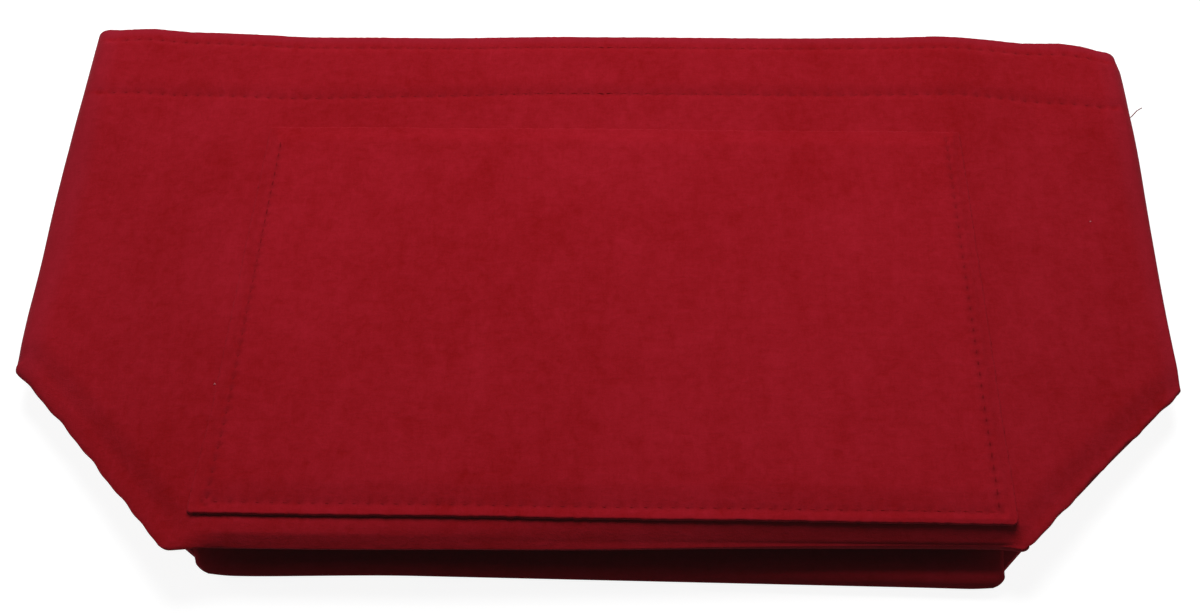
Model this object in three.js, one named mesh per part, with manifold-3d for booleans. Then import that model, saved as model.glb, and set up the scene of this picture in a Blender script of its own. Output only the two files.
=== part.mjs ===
// A felt organizer insert for a handbag, folded flat and lying on its back wall.
// Lengths are millimetres. +X runs along the base, +Y from the base to the rim, +Z is up.
// The origin is the centre of the outer box, on the surface that the back wall lies on.
// The shell is one skin of felt. It is split here at its creases, because each panel turns by itself.

import * as THREE from 'three';
import { mergeVertices } from 'three/addons/utils/BufferGeometryUtils.js';
import Module from 'manifold-3d';

const wasm = await Module();
wasm.setup();

// Driving dimensions of the box that the shell makes when it stands open
const baseLength = 224;
const baseDepth = 108;
const wallHeight = 180;

// Felt and the room that folded layers keep between them
const shellFelt = 3;
const pocketFelt = 2;
const layerGap = 0.3;
const foldGap = 0.3;

// How far the two walls stand apart while the organizer is folded flat, hinge line to hinge line
const foldedSpread = 13;

// Rim: a facing strip inside, held by two rows of stitches
const facingDepth = 26;
const rimStitchInset = 2.4;
const facingStitchInset = 24.3;
const mitreGap = 0.3;
const facingThinEdge = 0.3;

// Front outer slip pocket, open at its top. Its mouth lies a set drop below the rim.
const outerPocketWidth = 221.4;
const outerPocketBottom = 2.3;
const outerPocketDrop = 38;
const outerPocketCorner = 2.5;
const pocketStitchInset = 4.7;

// Inner slip pockets, one on each wall, clear of the folded base
const innerPocketWidth = 204;
const innerPocketBottomGap = 4;
const innerPocketDrop = 40;
const innerPocketCorner = 2.5;
const pocketCornerSteps = 6;

// The groove that a row of stitches presses into the felt
const grooveWidth = 1.6;
const grooveDepth = 0.5;
const cutOverrun = 1;

// Rounded felt at the base edges of both walls
const baseRollDegrees = 44;
const baseRollSteps = 5;

// Felt colours
const shellRed = 0x8f131e;
const facingRed = 0x8a1220;
const pocketRed = 0x93131e;
const insideRed = 0x7f101a;
const feltRoughness = 0.95;

const radians = Math.PI / 180;
const halfDepth = baseDepth / 2;
const halfLength = baseLength / 2;
const halfGap = foldGap / 2;
const outerOffset = halfGap + shellFelt;

// Each hinge line lies half a fold gap above the inner faces that it joins.
const rearHingeHeight = shellFelt + halfGap;
const frontHingeHeight = rearHingeHeight + foldedSpread;

// A gusset half turns about the wall's side edge. The base halves fold the other way,
// so their shared crease runs along their outer faces.
const gussetRestAngle = Math.asin(foldedSpread / baseDepth);
const baseCreaseOffset = outerOffset + halfGap;
const baseCreaseAngle = Math.asin(baseCreaseOffset / halfDepth);
const basePanelAngle = gussetRestAngle - baseCreaseAngle;
const basePanelLength = halfDepth * Math.cos(baseCreaseAngle) - halfGap;

// The tuck below a gusset half folds over the diagonal from the base corner to the side fold.
const tuckFoldLength = halfDepth * Math.SQRT2;
const tuckReach = tuckFoldLength / 2;
const tuckRestAngle = Math.asin((foldedSpread / 2 - outerOffset - halfGap) / tuckReach);

// An outline's points are pairs across the extrusion axis: y and z along x, x and z along y, x and y along z.
function extruded(outline, axis, start, end) {
  const flipped = axis === 'y';
  const shape = new THREE.Shape(outline.map(([a, b]) => new THREE.Vector2(flipped ? b : a, flipped ? a : b)));
  const low = Math.min(start, end);
  const geometry = new THREE.ExtrudeGeometry(shape, { depth: Math.abs(end - start), bevelEnabled: false });
  geometry.translate(0, 0, low);
  const x = new THREE.Vector3(1, 0, 0);
  const y = new THREE.Vector3(0, 1, 0);
  const z = new THREE.Vector3(0, 0, 1);
  const bases = { x: [y, z, x], y: [z, x, y], z: [x, y, z] };
  return geometry.applyMatrix4(new THREE.Matrix4().makeBasis(...bases[axis]));
}

function toSolid(geometry) {
  const bare = geometry.clone();
  bare.deleteAttribute('normal');
  bare.deleteAttribute('uv');
  const merged = mergeVertices(bare);
  return new wasm.Manifold(new wasm.Mesh({
    numProp: 3,
    vertProperties: new Float32Array(merged.attributes.position.array),
    triVerts: new Uint32Array(merged.index.array),
  }));
}

function toGeometry(solid) {
  const mesh = solid.getMesh();
  const geometry = new THREE.BufferGeometry();
  geometry.setAttribute('position', new THREE.BufferAttribute(new Float32Array(mesh.vertProperties), 3));
  geometry.setIndex(new THREE.BufferAttribute(new Uint32Array(mesh.triVerts), 1));
  geometry.computeVertexNormals();
  return geometry;
}

function cut(geometry, cutters) {
  return toGeometry(cutters.reduce((solid, cutter) => solid.subtract(toSolid(cutter)), toSolid(geometry)));
}

function shared(geometry, other) {
  return toGeometry(toSolid(geometry).intersect(toSolid(other)));
}

function felt(name, geometry, color) {
  const material = new THREE.MeshStandardMaterial({ color, roughness: feltRoughness, metalness: 0 });
  const mesh = new THREE.Mesh(geometry, material);
  mesh.name = name;
  return mesh;
}

// A V groove along one axis, pressed into a face whose outward side is +1 or -1 along z.
function groove(axis, across, faceHeight, outward, start, end) {
  const outline = [
    [across - grooveWidth / 2, faceHeight],
    [across - grooveWidth / 2, faceHeight + outward * cutOverrun],
    [across + grooveWidth / 2, faceHeight + outward * cutOverrun],
    [across + grooveWidth / 2, faceHeight],
    [across, faceHeight - outward * grooveDepth],
  ];
  return extruded(outline, axis, start - cutOverrun, end + cutOverrun);
}

// The two rows that hold the facing, across a panel that runs from one x to another
function rimGrooves(faceHeight, outward, start, end) {
  return [rimStitchInset, facingStitchInset].map((inset) => (
    groove('x', wallHeight - inset, faceHeight, outward, start, end)
  ));
}

// Quarter-round felt beyond a base hinge line at y = 0, from the outer face round towards the other panel
function baseRoll(hingeHeight, outward) {
  const points = [];
  for (let step = 0; step <= baseRollSteps; step += 1) {
    const angle = baseRollDegrees * radians * step / baseRollSteps;
    points.push([-outerOffset * Math.sin(angle), hingeHeight + outward * outerOffset * Math.cos(angle)]);
  }
  const last = baseRollDegrees * radians;
  points.push([-foldGap * Math.sin(last), hingeHeight + outward * foldGap * Math.cos(last)]);
  return points;
}

// A rounded rectangle, centred on x = 0
function patchOutline(width, bottom, top, corner) {
  const half = width / 2;
  const path = new THREE.Path();
  path.moveTo(half, top);
  path.lineTo(-half, top);
  path.lineTo(-half, bottom + corner);
  path.absarc(-half + corner, bottom + corner, corner, Math.PI, Math.PI * 3 / 2, false);
  path.lineTo(half - corner, bottom);
  path.absarc(half - corner, bottom + corner, corner, -Math.PI / 2, 0, false);
  return path.getPoints(pocketCornerSteps).map((point) => [point.x, point.y]);
}

// A wall is a full-width panel. Its outer face looks down on the back wall and up on the front wall.
function wall(name, hingeHeight, outward) {
  const inner = hingeHeight + outward * halfGap;
  const outer = hingeHeight + outward * outerOffset;
  const outline = [[wallHeight, inner], [wallHeight, outer], ...baseRoll(hingeHeight, outward), [0, inner]];
  const sheet = extruded(outline, 'x', -halfLength + halfGap, halfLength - halfGap);
  return felt(name, cut(sheet, rimGrooves(outer, outward, -halfLength, halfLength)), shellRed);
}

// The facing strip on a wall is mitred at both ends, to clear the facings on the gussets when the box opens.
function wallFacing(name, hingeHeight, outward) {
  const near = -outward * (layerGap - halfGap);
  const far = -outward * (layerGap - halfGap + shellFelt);
  const nearEnd = halfLength - Math.abs(near) - mitreGap;
  const farEnd = halfLength - Math.abs(far) - mitreGap;
  const outline = [
    [-nearEnd, hingeHeight + near],
    [nearEnd, hingeHeight + near],
    [farEnd, hingeHeight + far],
    [-farEnd, hingeHeight + far],
  ];
  return felt(name, extruded(outline, 'y', wallHeight - facingDepth, wallHeight), facingRed);
}

// A slip pocket: one layer of thinner felt, sewn at both sides and below
function slipPocket(name, size, nearHeight, outward, color) {
  const farHeight = nearHeight + outward * pocketFelt;
  const sheet = extruded(patchOutline(size.width, size.bottom, size.top, size.corner), 'z', nearHeight, farHeight);
  const side = size.width / 2 - pocketStitchInset;
  const low = size.bottom + pocketStitchInset;
  const rows = [
    groove('x', low, farHeight, outward, -side, side),
    ...[-side, side, ...size.dividers].map((x) => groove('y', x, farHeight, outward, low, size.top)),
  ];
  return felt(name, cut(sheet, rows), color);
}

// One half of the V-shaped base. Its outer face looks at the other half.
function baseHalf(name, hingeHeight, inward) {
  const pivot = new THREE.Group();
  pivot.position.set(0, 0, hingeHeight);
  pivot.rotation.x = inward * basePanelAngle;
  const outline = [
    [basePanelLength, inward * outerOffset],
    ...baseRoll(0, inward),
    [halfGap, inward * halfGap],
    [basePanelLength, inward * halfGap],
  ];
  pivot.add(felt(name, extruded(outline, 'x', -halfLength + halfGap, halfLength - halfGap), shellRed));
  return pivot;
}

// One half of a gusset, from the wall's side edge to the side fold, cut off along the tuck's diagonal.
// side is +1 on the right and -1 on the left. inward is +1 on the back wall and -1 on the front wall.
function gussetHalf(name, hingeHeight, side, inward) {
  const pivot = new THREE.Group();
  pivot.position.set(side * halfLength, 0, hingeHeight);
  pivot.rotation.y = -side * inward * gussetRestAngle;

  const near = halfGap;
  const far = halfDepth - halfGap;
  const outline = [
    [side * near, near + foldGap],
    [side * far, far + foldGap],
    [side * far, wallHeight],
    [side * near, wallHeight],
  ];
  const outer = -inward * outerOffset;
  const sheet = extruded(outline, 'z', -inward * halfGap, outer);
  const start = Math.min(side * near, side * far);
  const end = Math.max(side * near, side * far);
  pivot.add(felt(name, cut(sheet, rimGrooves(outer, -inward, start, end)), shellRed));
  pivot.add(gussetFacing(`${name}_rim_facing`, side, inward));
  return pivot;
}

// The facing on a gusset half. Towards the side fold its felt is squeezed between the folded layers.
function gussetFacing(name, side, inward) {
  const slope = Math.tan(gussetRestAngle);
  const low = layerGap - halfGap;
  const high = low + shellFelt;
  const thinHigh = low + facingThinEdge;
  const fullEnd = halfDepth - (high + halfGap) / slope;
  const thinEnd = halfDepth - (thinHigh + halfGap) / slope;
  const outline = [
    [low + mitreGap, low],
    [thinEnd, low],
    [thinEnd, thinHigh],
    [fullEnd, high],
    [high + mitreGap, high],
  ].map(([x, z]) => [side * x, inward * z]);
  return felt(name, extruded(outline, 'y', wallHeight - facingDepth, wallHeight), facingRed);
}

// The triangle of gusset felt below the diagonal, folded in between the gusset half and the base's V.
// It keeps to its own side of the middle between the walls, and outside the base's end.
function cornerTuck(name, hingeHeight, side, inward) {
  const corner = new THREE.Group();
  corner.position.set(side * halfLength, 0, hingeHeight);
  const inset = halfGap * (1 + Math.SQRT2);
  const outline = [
    [inset, halfGap],
    [tuckFoldLength - inset, halfGap],
    [tuckReach, tuckReach - halfGap * Math.SQRT2],
  ];
  const sheet = extruded(outline, 'z', halfGap, outerOffset);
  sheet.rotateX(tuckRestAngle);
  sheet.rotateZ(Math.PI / 4);
  sheet.rotateY(-gussetRestAngle);
  const room = extruded([
    [halfGap, -cutOverrun],
    [halfDepth, -cutOverrun],
    [halfDepth, foldedSpread / 2 - halfGap],
    [halfGap, foldedSpread / 2 - halfGap],
  ], 'y', 0, halfDepth);
  const tuck = shared(sheet, room);
  corner.add(felt(name, mirrored(tuck, side, inward), insideRed));
  return corner;
}

// Mirrors a geometry in x, in z or in both, and keeps its faces pointing out.
function mirrored(geometry, side, inward) {
  const result = geometry.clone();
  result.scale(side, 1, inward);
  if (side * inward < 0) {
    const index = result.index.array;
    for (let corner = 0; corner < index.length; corner += 3) {
      [index[corner], index[corner + 1]] = [index[corner + 1], index[corner]];
    }
    result.computeVertexNormals();
  }
  return result;
}

const outerPocket = {
  width: outerPocketWidth,
  bottom: outerPocketBottom,
  top: wallHeight - outerPocketDrop,
  corner: outerPocketCorner,
  dividers: [],
};
const innerPocket = {
  width: innerPocketWidth,
  bottom: halfDepth + innerPocketBottomGap,
  top: wallHeight - innerPocketDrop,
  corner: innerPocketCorner,
  dividers: [],
};
const dividedPocket = { ...innerPocket, dividers: [0] };

const organizer = new THREE.Group();

// The lowest point is the rolled felt of the base halves, the highest the rim.
const lowestEdge = -outerOffset * Math.sin(baseRollDegrees * radians + basePanelAngle);
organizer.position.y = -(lowestEdge + wallHeight) / 2;

organizer.add(wall('back_wall', rearHingeHeight, -1));
organizer.add(wall('front_wall', frontHingeHeight, 1));
organizer.add(wallFacing('back_rim_facing', rearHingeHeight, -1));
organizer.add(wallFacing('front_rim_facing', frontHingeHeight, 1));
organizer.add(baseHalf('base_rear_half', rearHingeHeight, 1));
organizer.add(baseHalf('base_front_half', frontHingeHeight, -1));

for (const [sideName, side] of [['left', -1], ['right', 1]]) {
  for (const [faceName, hingeHeight, inward] of [['rear', rearHingeHeight, 1], ['front', frontHingeHeight, -1]]) {
    organizer.add(gussetHalf(`${sideName}_${faceName}_gusset`, hingeHeight, side, inward));
    organizer.add(cornerTuck(`${sideName}_${faceName}_corner_tuck`, hingeHeight, side, inward));
  }
}

const frontOuterFace = frontHingeHeight + outerOffset;
const frontInnerFace = frontHingeHeight + halfGap;
organizer.add(slipPocket('front_outer_pocket', outerPocket, frontOuterFace + layerGap, 1, pocketRed));
organizer.add(slipPocket('front_inner_pocket', innerPocket, frontInnerFace - layerGap, -1, insideRed));
organizer.add(slipPocket('rear_inner_pocket', dividedPocket, shellFelt + layerGap, 1, insideRed));

export default organizer;
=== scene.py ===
import math

import bmesh
import bpy
import numpy as np
from mathutils import Euler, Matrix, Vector


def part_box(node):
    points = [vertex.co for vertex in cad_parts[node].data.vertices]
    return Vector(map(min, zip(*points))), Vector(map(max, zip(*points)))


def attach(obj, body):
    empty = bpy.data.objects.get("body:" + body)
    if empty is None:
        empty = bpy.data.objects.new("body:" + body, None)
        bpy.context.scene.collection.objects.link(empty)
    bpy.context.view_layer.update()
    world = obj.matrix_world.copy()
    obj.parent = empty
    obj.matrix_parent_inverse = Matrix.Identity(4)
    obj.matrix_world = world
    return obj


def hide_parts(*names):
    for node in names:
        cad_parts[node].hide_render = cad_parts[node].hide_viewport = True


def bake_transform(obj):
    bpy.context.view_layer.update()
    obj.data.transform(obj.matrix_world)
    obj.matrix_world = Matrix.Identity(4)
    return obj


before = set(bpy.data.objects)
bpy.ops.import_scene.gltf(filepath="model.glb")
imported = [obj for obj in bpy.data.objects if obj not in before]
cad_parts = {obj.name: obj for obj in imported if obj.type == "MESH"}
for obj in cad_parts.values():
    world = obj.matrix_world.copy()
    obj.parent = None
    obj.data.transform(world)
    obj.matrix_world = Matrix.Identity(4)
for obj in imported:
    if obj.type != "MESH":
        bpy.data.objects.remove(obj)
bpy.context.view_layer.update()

# The felt insert lies folded on its back wall. Shapes are worked out in millimetres: x along the base,
# y from the base line to the rim, and height above the table. At the end they become metres in the row
# frame. The front and the back share a middle plane, and "rise" is a distance from that plane, outwards.

HALF_LENGTH = 112.0
HALF_DEPTH = 54.0
WALL_HEIGHT = 180.0
SHELL_FELT = 3.0
POCKET_FELT = 2.0
FOLD_GAP = 0.15
HINGE_RISE = 6.5
MIDDLE_HEIGHT = 9.65
OUTER_OFFSET = FOLD_GAP + SHELL_FELT
GUSSET_SLOPE = math.asin(2 * HINGE_RISE / (2 * HALF_DEPTH))
SIDE_FOLD_X = HALF_LENGTH + HALF_DEPTH * math.cos(GUSSET_SLOPE)
CORNER_SOFTNESS = 6.0
RAW_EDGE = 0.5

RIM_ROW = WALL_HEIGHT - 5.2
FACING_ROW = WALL_HEIGHT - 24.3
FACING_DEPTH = 26.0
STITCH_PITCH = 4.0

LAYERS = {"front": 1, "rear": -1}
SIDES = {"left": -1, "right": 1}
BASE_LINE_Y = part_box("back_wall")[1].y * 1000 - WALL_HEIGHT


def to_row_frame(points):
    """Millimetres from the base line become metres in the row frame."""
    return (np.asarray(points, float) + [0, BASE_LINE_Y, 0]) * 0.001


def smooth(value, start, end):
    """Goes softly from 0 at start to 1 at end."""
    share = np.clip((value - start) / (end - start), 0, 1)
    return share * share * (3 - 2 * share)


def fade(value, start, end):
    """Goes softly from 1 at start to 0 at end."""
    return 1 - smooth(value, start, end)


# How the folded felt lies

def ripple(x, y, wavelength, seed):
    """A calm wavy field from -1 to 1, the same for every layer at one place."""
    chance = np.random.default_rng(seed)
    total = np.zeros_like(x)
    waves = 6
    for _ in range(waves):
        heading = chance.uniform(0, math.tau)
        length = wavelength * chance.uniform(0.7, 1.6)
        phase = chance.uniform(0, math.tau)
        total += np.sin((x * math.cos(heading) + y * math.sin(heading)) * math.tau / length + phase)
    return total / waves


# The front and the back lie askew to each other, by this slope each
SKEW = 0.0143
BACK_FOLD_REACH = 2.2
LOWER_BEND_START = 4.8
# The thread's own thickness, which lies between the rear felt and the table
TABLE_ROOM = 0.15
# How far the rear's corners lie inwards, and the heights between which that fades
REAR_CORNER_PULL = {-1: (4.2, -3, 10), 1: (4.1, -3, 27)}


def rim_shift(x, y, reach, loose):
    """How far the wall runs long towards its rim, and the rim's uneven line."""
    # The felt has stretched a little, most at the right and beside the left's side fold
    to_rim = smooth(y, 100, WALL_HEIGHT)
    dy = 0.9 * smooth(y, 60, 130) + 1.3 * smooth(y, 150, WALL_HEIGHT) + 0.9 * smooth(x, 40, 110) * to_rim
    dy += 0.035 * np.clip(-x - 98, 0, None) * smooth(y, 120, WALL_HEIGHT) * loose
    beside_fold = smooth(reach, 92, 140) * fade(reach, 150, SIDE_FOLD_X)
    dy += 1.9 * beside_fold * smooth(y, 110, WALL_HEIGHT)
    # The band is wider at the left: its lower row sags there
    dy -= 2.2 * smooth(-x, 10, 110) * smooth(y, 140, FACING_ROW) * fade(y, FACING_ROW, RIM_ROW - 2)
    dy -= 1.1 * smooth(x, -135, -100) * fade(x, -60, -15) * to_rim
    # The rim's right corner is worn round
    worn = 1.0 * smooth(x, 135, 156) * fade(x, 158, 165) - 1.3 * smooth(x, 162, 171)
    return dy + worn * smooth(y, 155, WALL_HEIGHT)


def rear_shift(x, y, z, reach):
    """How the rear lies: its fold reaches out, its corners are pulled in and the table presses it flat."""
    fold_reach = BACK_FOLD_REACH + 1.3 * smooth(-x, 50, 105)
    dy = -fold_reach * fade(reach, 106, 140) * fade(y, 0, 60)
    over_diagonal = fade(y - lower_edge(reach), 0, 14)
    dy += 0.9 * smooth(x, HALF_LENGTH, 122) * fade(x, 140, 160) * over_diagonal
    beside = smooth(reach, 80, HALF_LENGTH) * fade(reach, 118, SIDE_FOLD_X - 10)
    dx = -np.sign(x) * 0.4 * beside * np.clip(-0.5 - y, 0, 4)
    for side, (pull, full, none) in REAR_CORNER_PULL.items():
        dx -= side * pull * beside * fade(y, full, none) * (x * side > 0)
    return dx, dy, np.clip(TABLE_ROOM - z, 0, None)


def front_shift(x, y, z, reach):
    """How the front lies: bent down, its felt crushed before the lower fold, most at the right."""
    to_right = smooth(x, -110, 100)
    on_wall = fade(reach - 8 * (x > 0), 98, HALF_LENGTH)
    before_fold = np.clip(LOWER_BEND_START - y, 0, 6)
    slump = 0.25 * to_right * on_wall * before_fold ** 2 / (before_fold + 2.0)
    towards_fold = np.clip(before_fold / LOWER_BEND_START, 0, 1)
    left_over = 1 - (0.2 + 0.7 * to_right) * towards_fold ** (2.0 - to_right)
    # Beyond the fold line the roll is flattened into a slope
    round_fold = np.clip(-y / OUTER_OFFSET, 0, 1)
    left_over *= ((1 - round_fold) / (1 + round_fold)) ** 0.45
    crush = (1 - left_over) * on_wall
    dz = 0.28 * ripple(x, y, 70.0, 3) * fade(reach, HALF_LENGTH, SIDE_FOLD_X)
    dz -= slump + crush * np.clip(z - MIDDLE_HEIGHT - HINGE_RISE, 0, None)
    dy = 0.45 * slump + 0.85 * to_right ** 2 * np.clip(-y, 0, None) * on_wall
    # Both lower corners are pushed a little to the left or the right
    dx = -1.0 * smooth(-x, 85, HALF_LENGTH) * fade(y, 6, 40) * fade(reach, 130, SIDE_FOLD_X)
    dx -= 1.2 * smooth(-x, 95, HALF_LENGTH) * fade(y, 0, 7) * fade(reach, 114, 124)
    dx += 0.3 * smooth(x, 95, HALF_LENGTH) * fade(y, 10, 40) * fade(reach, 120, 145)
    return dx, dy, dz


def settle(points, layer):
    """Moves points from the flat pattern's place to where the used felt lies.
    At the side folds it moves them along the fold only, so that both halves still meet in the open box."""
    x, y, z = points[..., 0], points[..., 1], points[..., 2]
    reach = np.abs(x)
    loose = smooth(reach, HALF_LENGTH - 6, SIDE_FOLD_X) if layer > 0 else np.ones_like(x)
    dx, dy, dz = (front_shift if layer > 0 else rear_shift)(x, y, z, reach)
    dy += rim_shift(x, y, reach, loose) - SKEW * x * loose
    return points + np.stack([dx, dy, dz], -1)


def layers_lift(x, y, side):
    """How far the layers inside a gusset, the facing above and the tuck below, push its shell out."""
    room = hinge_rise(x) / np.cos(tilt_at(x))
    crowd = np.clip(OUTER_OFFSET + FOLD_GAP - room, 0, None)
    low_share = {-1: 0.75, 1: 0.1}[side]
    return crowd * (smooth(y, 112, WALL_HEIGHT - FACING_DEPTH - 1) + low_share * fade(y, 50, 100))


def side_fold_reach(y, side):
    """How far the side fold's roll reaches beyond its fold line."""
    if side < 0:
        fullest = np.exp(-((y - 118) / 28) ** 2)
        return 5.6 - 0.8 * fade(y, HALF_DEPTH, 76) + 1.2 * fullest + 0.5 * smooth(y, 90, WALL_HEIGHT)
    return 1.3 + 4.1 * smooth(y, 50, 150) + 0.4 * smooth(y, 150, 170) - 1.0 * smooth(y, 173, WALL_HEIGHT)


# How far each diagonal fold reaches below, and how far the front's upper half bulges out over it, at the
# side fold and then at the base corner
DIAGONAL_REACH = {1: (0.6, 0.8), -1: (0.4, 0.4)}
DIAGONAL_BULGE = {(-1, 1): (4.1, 4.1), (1, 1): (0.6, 1.5), (-1, -1): (0.0, 0.0), (1, -1): (0.0, 0.0)}


def at_diagonal(ends, x):
    """Goes from the first value at the side fold to the second at the base corner."""
    near_corner = fade(np.asarray(x, float) - HALF_LENGTH, 0, 34)
    return ends[0] + (ends[1] - ends[0]) * near_corner


def diagonal_waves(x, side):
    """The corner seam gathers the diagonal's fold into small uneven waves."""
    return 0.17 * math.sin(x * math.tau / 11.5 + side) + 0.12 * math.sin(x * math.tau / 6.1 - 2 * side)


CREASE_PRESS = 1.2
CREASE_WIDTH = 8.0


def diagonal_press(x, y):
    """How much thinner the felt is pressed beside the diagonal fold."""
    run, rise = SIDE_FOLD_X - HALF_LENGTH, HALF_DEPTH
    share = np.clip(((x - HALF_LENGTH) * run + y * rise) / (run * run + rise * rise), 0, 1)
    distance = np.hypot(x - HALF_LENGTH - share * run, y - share * rise)
    return CREASE_PRESS * fade(distance, 0, CREASE_WIDTH)


# Mesh building

def linked(name, data):
    """A new object in the scene."""
    made = bpy.data.objects.new(name, data)
    bpy.context.scene.collection.objects.link(made)
    return made


SHARP_ANGLE = math.radians(50)


class Skin:
    """Collects grids of points whose shared borders are merged into one closed skin.
    Each point also has a seam value: how much painted shade a row of stitches lays on the felt there, or,
    below zero, how much paler the felt is painted there, partly its own fuzz and partly a painted sheen."""

    def __init__(self):
        self.points = []
        self.seams = []
        self.faces = []

    def grid(self, points, seam=None):
        rows, columns = points.shape[:2]
        start = len(self.points)
        self.points.extend(points.reshape(-1, 3).tolist())
        self.seams.extend((np.zeros(rows * columns) if seam is None else seam.ravel()).tolist())
        for row in range(rows - 1):
            for column in range(columns - 1):
                corner = start + row * columns + column
                self.faces.append((corner, corner + 1, corner + columns + 1, corner + columns))

    def strip(self, *lines):
        self.grid(np.stack(lines))

    def rolled_felt(self, place, outer, inner, outer_roll, inner_roll):
        for grid in (outer, inner, outer_roll, inner_roll):
            self.grid(place(grid))
        self.strip(place(outer_roll[-1]), place(inner_roll[-1]))

    def piece(self, name, material):
        mesh = bpy.data.meshes.new(name)
        mesh.from_pydata(to_row_frame(self.points).tolist(), [], self.faces)
        mesh.attributes.new("seam", "FLOAT", "POINT").data.foreach_set("value", self.seams)
        work = bmesh.new()
        work.from_mesh(mesh)
        bmesh.ops.remove_doubles(work, verts=work.verts, dist=2e-6)
        bmesh.ops.dissolve_degenerate(work, edges=work.edges, dist=1e-7)
        bmesh.ops.recalc_face_normals(work, faces=work.faces)
        work.to_mesh(mesh)
        work.free()
        mesh.polygons.foreach_set("use_smooth", [True] * len(mesh.polygons))
        mesh.set_sharp_from_angle(angle=SHARP_ANGLE)
        mesh.materials.append(material)
        return linked(name, mesh)


# A cut edge's rounded shape: how far out it stands, and the share of half the felt's thickness
UPPER_EDGE = [(0.0, 1.0), (0.30, 0.90), (0.46, 0.68), (0.5, 0.3)]
EDGE_PROFILE = UPPER_EDGE + [(reach, -share) for reach, share in UPPER_EDGE[::-1]]


def raw_edge(skin, outer, inner, outward, closed=False, fuzz_and_sheen=1.0):
    """A cut felt edge between two border lines. outward points away from the felt."""
    middle, half = (outer + inner) / 2, (outer - inner) / 2
    chance = np.random.default_rng(len(middle))
    fray = 1 + 0.25 * chance.uniform(-1, 1, (len(middle), 1))
    if closed:
        fray[-1] = fray[0]
    lines = np.stack([middle + half * share + outward * reach * fray for reach, share in EDGE_PROFILE])
    # The cut edge is painted paler: partly its own pale fuzz and partly a painted sheen
    skin.grid(lines, np.full(lines.shape[:2], -fuzz_and_sheen))
    if not closed:
        upper, lower = lines[:len(UPPER_EDGE)], lines[len(UPPER_EDGE):]
        for end in (0, -1):
            skin.strip(upper[:, end], lower[::-1, end])


def spaced(start, end, step):
    return np.linspace(start, end, max(2, int(round(abs(end - start) / step)) + 1))


# Shell felt: half a wall and the gusset half beside it, with rolled folds along the base, the diagonal
# and the side

def tilt_at(x):
    """The gusset's slope, which starts softly at the wall's corner."""
    return GUSSET_SLOPE * smooth(x, HALF_LENGTH - CORNER_SOFTNESS, HALF_LENGTH + CORNER_SOFTNESS)


TILT_TABLE_X = np.linspace(0, SIDE_FOLD_X, 2001)
TILT_TABLE_RISE = HINGE_RISE - np.concatenate([[0], np.cumsum(
    (np.tan(tilt_at(TILT_TABLE_X[1:])) + np.tan(tilt_at(TILT_TABLE_X[:-1]))) / 2 * np.diff(TILT_TABLE_X))])


def hinge_rise(x):
    """How far the hinge plane is from the middle plane: it comes down to it at the side fold."""
    return np.interp(x, TILT_TABLE_X, TILT_TABLE_RISE)


def shell_normal(x):
    tilt = tilt_at(x)
    return np.stack([np.sin(tilt), np.zeros_like(tilt), np.cos(tilt)], -1)


def groove(distance, depth, width):
    """How far a row of stitches presses the felt down at a distance from it."""
    return depth * np.exp(-(distance / width) ** 2)


def pinch(along, pitch=STITCH_PITCH):
    """A row presses hardest where the thread goes through, at whole pitches along it."""
    return 0.55 + 0.45 * np.cos(along * math.tau / pitch)


def seam_shade(distance, along, pitch=STITCH_PITCH):
    """The seam value at a distance from a row: painted shade in small holes, joined by a faint line of
    painted shade along the row.
    """
    hole = (0.5 + 0.5 * np.cos(along * math.tau / pitch)) ** 2
    return np.exp(-(distance / 0.75) ** 2) * (0.3 + 0.7 * hole)


def shell_relief(x, y):
    """The outer face's height over the plain felt: the rim band between its rows, and their grooves."""
    relief = 0.5 * smooth(y, FACING_ROW, FACING_ROW + 5) * fade(y, RIM_ROW - 3, RIM_ROW + 1.5)
    relief -= groove(y - FACING_ROW, 0.45, 1.4) * pinch(x)
    relief -= groove(y - RIM_ROW, 0.4, 1.2) * pinch(x)
    relief -= 0.3 * smooth(y, RIM_ROW, WALL_HEIGHT)
    return relief


def shell_seam(x, y):
    # Painted shade along both rows of stitches; below zero, the rim's cut edge and the side folds are
    # painted paler, partly their own fuzz and partly a painted sheen
    fuzz_and_sheen = 0.7 * smooth(y, RIM_ROW + 0.6, WALL_HEIGHT - 1)
    fuzz_and_sheen += 0.5 * smooth(np.abs(x), SIDE_FOLD_X - 6, SIDE_FOLD_X)
    return np.maximum(seam_shade(y - FACING_ROW, x), seam_shade(y - RIM_ROW, x)) - fuzz_and_sheen


def shell_point(x, y, offset):
    """A point of the shell felt at an offset from the hinge plane, on the right side's own axes."""
    x, y = np.broadcast_arrays(np.asarray(x, float), np.asarray(y, float))
    base = np.stack([x, y, hinge_rise(x)], -1)
    return base + shell_normal(x) * np.asarray(offset)[..., None]


def mirrored(points, side, layer):
    """From canonical x, y, rise to millimetres over the table on one side and layer."""
    x, y, rise = points[..., 0], points[..., 1], points[..., 2]
    return np.stack([side * x, y, MIDDLE_HEIGHT + layer * rise], -1)


def lower_edge(x):
    """Where the shell ends below: at the base line, and beyond the corner at the diagonal."""
    return np.clip(x - HALF_LENGTH, 0, None) * (HALF_DEPTH / (SIDE_FOLD_X - HALF_LENGTH))


SHELL_COLUMNS = np.concatenate([
    spaced(0, HALF_LENGTH, 1.0)[:-1], spaced(HALF_LENGTH, SIDE_FOLD_X, 1.0)])
ROW_START = 58.0
SHELL_ROWS = np.concatenate([
    spaced(ROW_START, FACING_ROW - 4, 2.5)[:-1], spaced(FACING_ROW - 4, FACING_ROW + 4, 0.5)[:-1],
    spaced(FACING_ROW + 4, RIM_ROW - 3, 1.5)[:-1], spaced(RIM_ROW - 3, WALL_HEIGHT - RAW_EDGE, 0.42)])
LOWER_SHARES = np.concatenate([spaced(0, 0.09, 0.01)[:-1], spaced(0.09, 1, 1 / 26)[:-1]])
ROLL_STEPS = np.linspace(0, 1, 9)


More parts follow.
